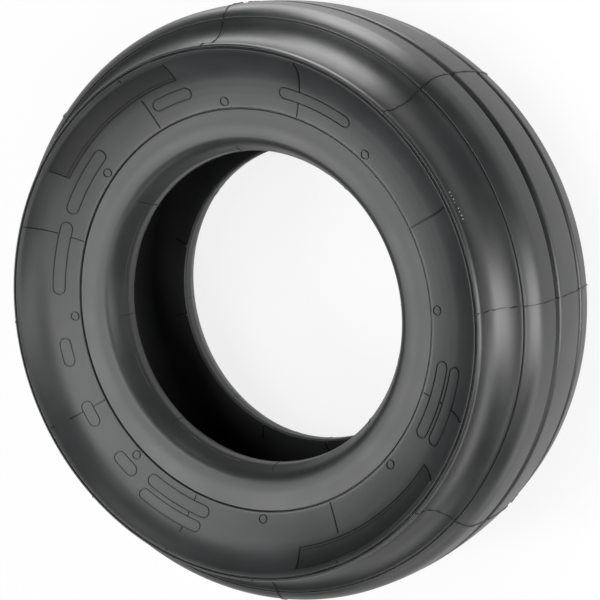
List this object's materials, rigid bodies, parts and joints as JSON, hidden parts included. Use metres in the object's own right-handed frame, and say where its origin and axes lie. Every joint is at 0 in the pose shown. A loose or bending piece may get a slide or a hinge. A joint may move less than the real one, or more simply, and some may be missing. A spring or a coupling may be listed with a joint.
{
  "type": "aircraft tire",
  "caption": "Tubeless nose-wheel aircraft tire, open at the middle for the wheel, with a water-deflecting chine along each shoulder and grooves round a ribbed tread.",
  "frame": {"origin": "centre of the tire, on the wheel axis and midway between the two beads", "axes": "+Z along the wheel axis; the tire lies on its lower chine, and either side can be up"},
  "size_m": [0.3912, 0.391, 0.1568],
  "materials": {
    "tread_rubber": "satin black, as moulded"
  },
  "bodies": {
    "root": {"tire": "tread_rubber"}
  },
  "joints": []
}
